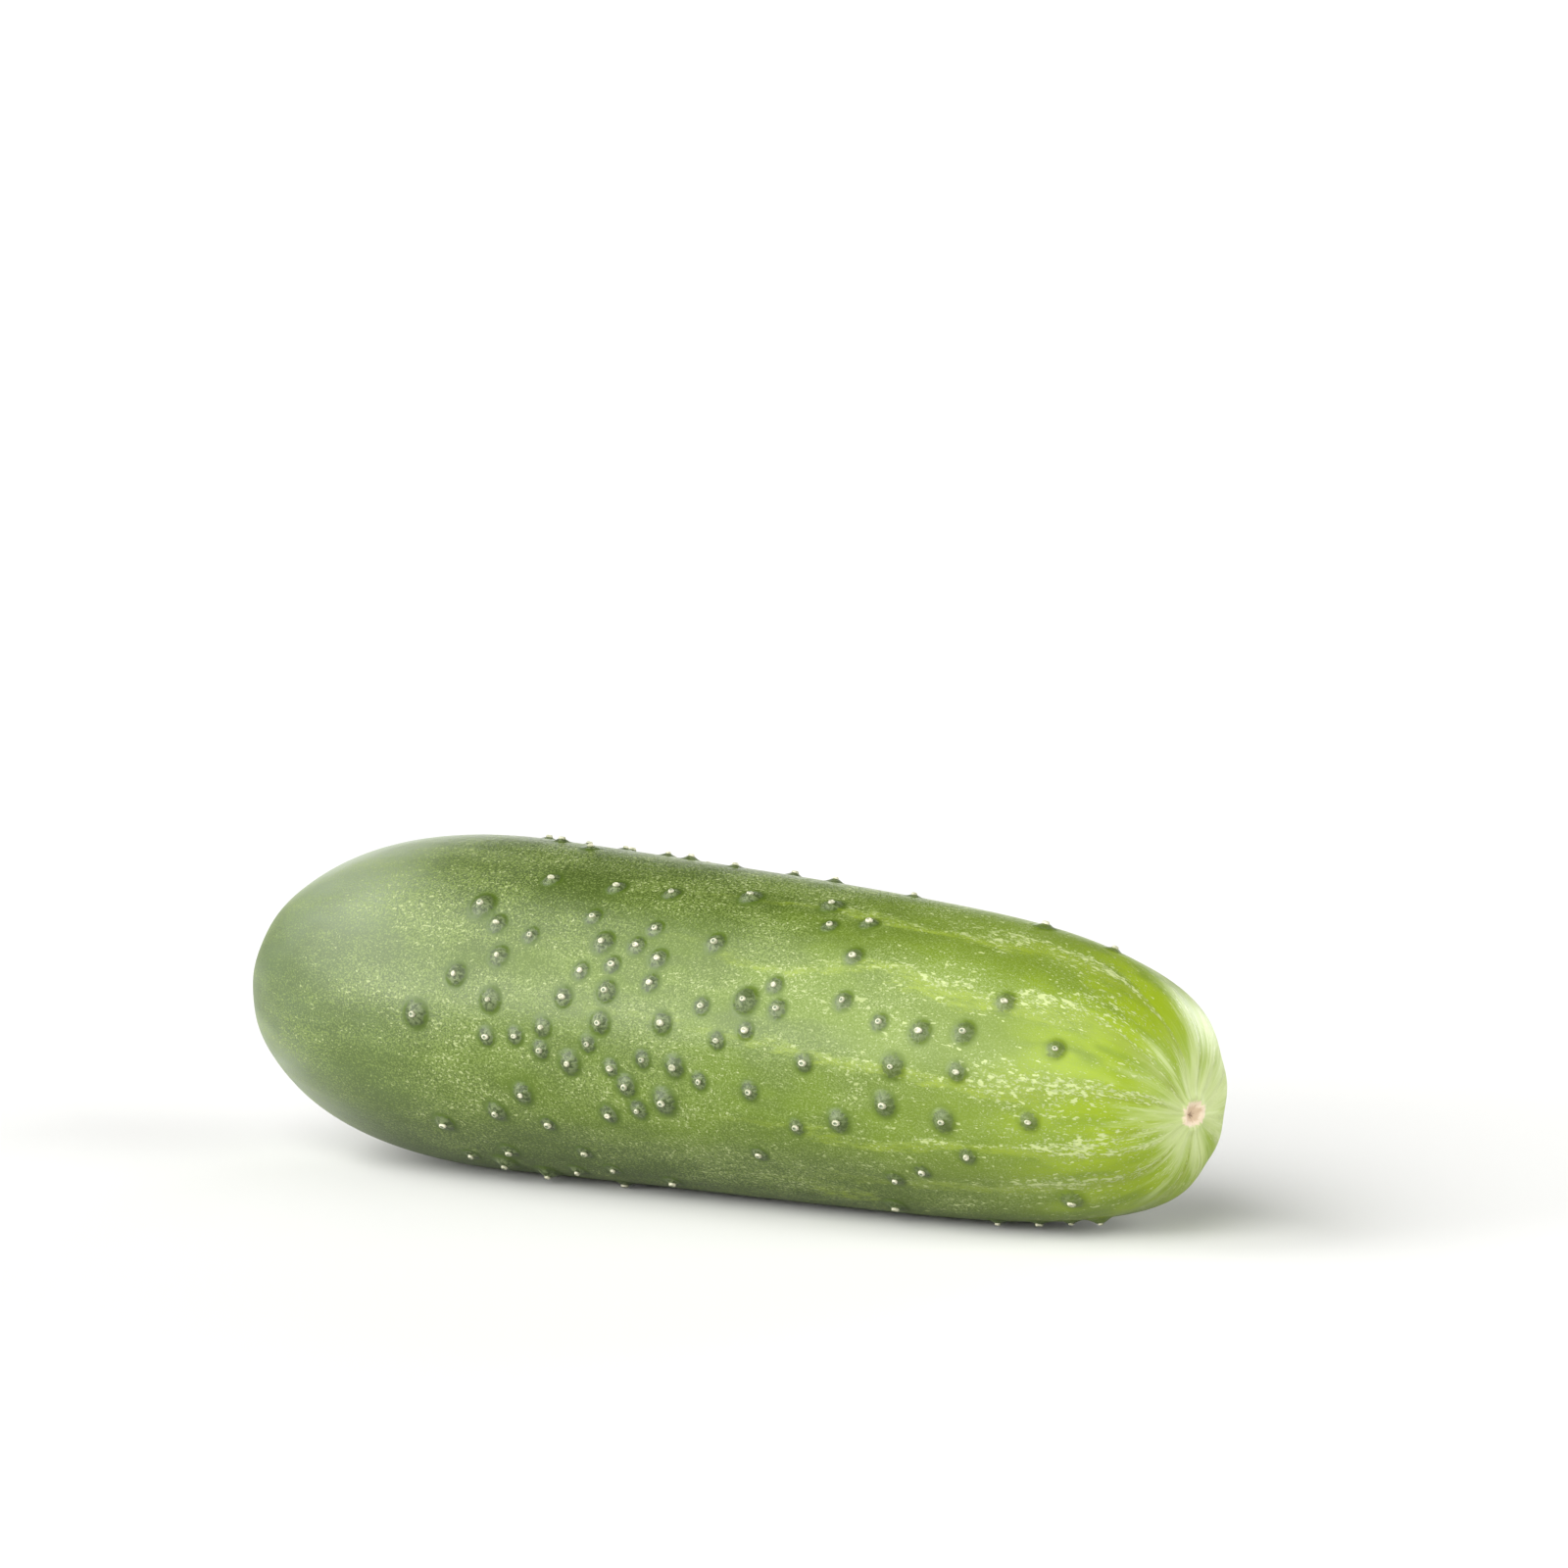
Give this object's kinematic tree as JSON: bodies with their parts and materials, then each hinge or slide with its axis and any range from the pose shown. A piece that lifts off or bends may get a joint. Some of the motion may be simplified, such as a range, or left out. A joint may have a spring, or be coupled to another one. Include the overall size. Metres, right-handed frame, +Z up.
{
  "type": "cucumber",
  "caption": "Short warty cucumber as picked, lying on its side: blunt rounded ends, soft ribs, spine warts on the stem side of the middle, scars of stem and flower.",
  "frame": {"origin": "bottom centre of the box round the fruit, on the surface that it lies on", "axes": "+X along the fruit from the stem end to the flower end, +Z up"},
  "size_m": [0.1402, 0.0432, 0.0417],
  "materials": {
    "skin": "waxy semi-gloss vegetable skin, dark green at the stem end to yellow-green at the flower end, finely speckled"
  },
  "bodies": {
    "root": {"cucumber": "skin"}
  },
  "joints": []
}
